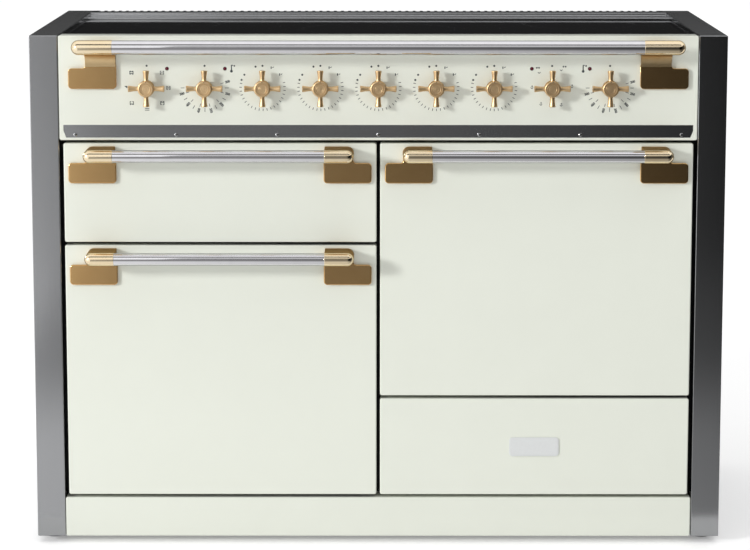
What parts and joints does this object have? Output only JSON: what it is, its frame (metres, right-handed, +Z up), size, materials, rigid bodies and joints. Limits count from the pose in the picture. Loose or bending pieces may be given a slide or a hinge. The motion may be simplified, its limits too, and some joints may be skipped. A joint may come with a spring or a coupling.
{
  "type": "induction range cooker",
  "caption": "Free-standing induction range cooker with drop-down grill and oven doors, a storage drawer, a towel rail and a row of cross-head knobs.",
  "frame": {"origin": "on the floor under the middle of the whole object, handles and rail included", "axes": "+Z up, +X to the right seen from the front, the doors face -Y"},
  "size_m": [1.213, 0.6765, 0.905],
  "materials": {
    "cream_enamel": "glossy vitreous enamel, pale grey-green cream",
    "brushed_steel": "brushed stainless sheet",
    "polished_steel": "polished stainless tube",
    "brass": "polished brass",
    "black_glass": "opaque black glass ceramic",
    "dark_enamel": "dark speckled oven enamel",
    "zinc_plate": "galvanised sheet",
    "black_paint": "black painted sheet",
    "chrome_wire": "bright wire",
    "gasket": "woven oven gasket",
    "mineral_wool": "mineral wool",
    "black_plastic": "moulded heat-proof plastic",
    "red_lens": "dark red lens, unlit",
    "coil_copper": "wound copper coil on its carrier",
    "heater_steel": "heat-darkened sheath",
    "fan_aluminium": "pressed aluminium",
    "motor_steel": "motor case"
  },
  "bodies": {
    "root": {"side_panel_left": "brushed_steel", "side_panel_right": "brushed_steel", "back_cover": "zinc_plate", "base_tray": "zinc_plate", "front_frame": "black_paint", "plinth": "cream_enamel", "levelling_feet": "black_plastic", "hob_glass": "black_glass", "hob_frame": "brushed_steel", "rear_vent": "brushed_steel", "induction_coils": "coil_copper", "control_panel": "cream_enamel", "vent_strip": "brushed_steel", "panel_screws": "brushed_steel", "indicator_lamps": "red_lens", "regulators": "black_plastic", "rail_tube": "polished_steel", "rail_brackets": "brass", "grill_liner": "dark_enamel", "left_oven_liner": "dark_enamel", "right_oven_liner": "dark_enamel", "oven_wool": "mineral_wool", "oven_seals": "gasket", "oven_racks": "chrome_wire", "fan_covers": "dark_enamel", "fan_motors": "motor_steel", "grill_element": "heater_steel", "grill_pan": "dark_enamel", "drawer_runners": "zinc_plate", "hinge_receivers": "zinc_plate", "terminal_cover": "black_plastic"},
    "grill_door": {"grill_door_skin": "cream_enamel", "grill_door_liner": "dark_enamel", "grill_door_hinges": "zinc_plate", "grill_handle_bar": "polished_steel", "grill_handle_brackets": "brass"},
    "left_door": {"left_door_skin": "cream_enamel", "left_door_liner": "dark_enamel", "left_door_hinges": "zinc_plate", "left_handle_bar": "polished_steel", "left_handle_brackets": "brass"},
    "right_door": {"right_door_skin": "cream_enamel", "right_door_liner": "dark_enamel", "right_door_hinges": "zinc_plate", "right_handle_bar": "polished_steel", "right_handle_brackets": "brass"},
    "drawer": {"drawer_front": "cream_enamel", "drawer_box": "zinc_plate", "badge_plate": "brushed_steel"},
    "left_fan": {"left_fan": "fan_aluminium"},
    "right_fan": {"right_fan": "fan_aluminium"},
    "knob_1": {"knob_1": "brass"},
    "knob_2": {"knob_2": "brass"},
    "knob_3": {"knob_3": "brass"},
    "knob_4": {"knob_4": "brass"},
    "knob_5": {"knob_5": "brass"},
    "knob_6": {"knob_6": "brass"},
    "knob_7": {"knob_7": "brass"},
    "knob_8": {"knob_8": "brass"},
    "knob_9": {"knob_9": "brass"}
  },
  "joints": [
    {"name": "door_grill_drop", "type": "hinge", "parent": "root", "child": "grill_door", "pos_m": [-0.27635, -0.26375, 0.5505], "axis": [1, 0, 0], "range_deg": [0, 90]},
    {"name": "door_left_oven_drop", "type": "hinge", "parent": "root", "child": "left_door", "pos_m": [-0.27635, -0.26375, 0.0964], "axis": [1, 0, 0], "range_deg": [0, 90]},
    {"name": "door_right_oven_drop", "type": "hinge", "parent": "root", "child": "right_door", "pos_m": [0.27635, -0.26375, 0.276], "axis": [1, 0, 0], "range_deg": [0, 90]},
    {"name": "drawer_slide", "type": "slide", "parent": "root", "child": "drawer", "axis": [0, -1, 0], "range_m": [0, 0.35]},
    {"name": "fan_left_spin", "type": "hinge", "parent": "root", "child": "left_fan", "pos_m": [-0.27635, 0.19825, 0.31275], "axis": [0, 1, 0], "continuous": true},
    {"name": "fan_right_spin", "type": "hinge", "parent": "root", "child": "right_fan", "pos_m": [0.27635, 0.19825, 0.4925], "axis": [0, 1, 0], "continuous": true},
    {"name": "knob_1_turn", "type": "hinge", "parent": "root", "child": "knob_1", "pos_m": [-0.4024, -0.28975, 0.814], "axis": [0, 1, 0], "range_deg": [0, 315]},
    {"name": "knob_2_turn", "type": "hinge", "parent": "root", "child": "knob_2", "pos_m": [-0.3018, -0.28975, 0.814], "axis": [0, 1, 0], "range_deg": [0, 272]},
    {"name": "knob_3_turn", "type": "hinge", "parent": "root", "child": "knob_3", "pos_m": [-0.2012, -0.28975, 0.814], "axis": [0, 1, 0], "range_deg": [0, 342]},
    {"name": "knob_4_turn", "type": "hinge", "parent": "root", "child": "knob_4", "pos_m": [-0.1006, -0.28975, 0.814], "axis": [0, 1, 0], "range_deg": [0, 342]},
    {"name": "knob_5_turn", "type": "hinge", "parent": "root", "child": "knob_5", "pos_m": [0, -0.28975, 0.814], "axis": [0, 1, 0], "range_deg": [0, 342]},
    {"name": "knob_6_turn", "type": "hinge", "parent": "root", "child": "knob_6", "pos_m": [0.1006, -0.28975, 0.814], "axis": [0, 1, 0], "range_deg": [0, 342]},
    {"name": "knob_7_turn", "type": "hinge", "parent": "root", "child": "knob_7", "pos_m": [0.2012, -0.28975, 0.814], "axis": [0, 1, 0], "range_deg": [0, 342]},
    {"name": "knob_8_turn", "type": "hinge", "parent": "root", "child": "knob_8", "pos_m": [0.3018, -0.28975, 0.814], "axis": [0, 1, 0], "range_deg": [0, 330]},
    {"name": "knob_9_turn", "type": "hinge", "parent": "root", "child": "knob_9", "pos_m": [0.4024, -0.28975, 0.814], "axis": [0, 1, 0], "range_deg": [0, 272]}
  ]
}
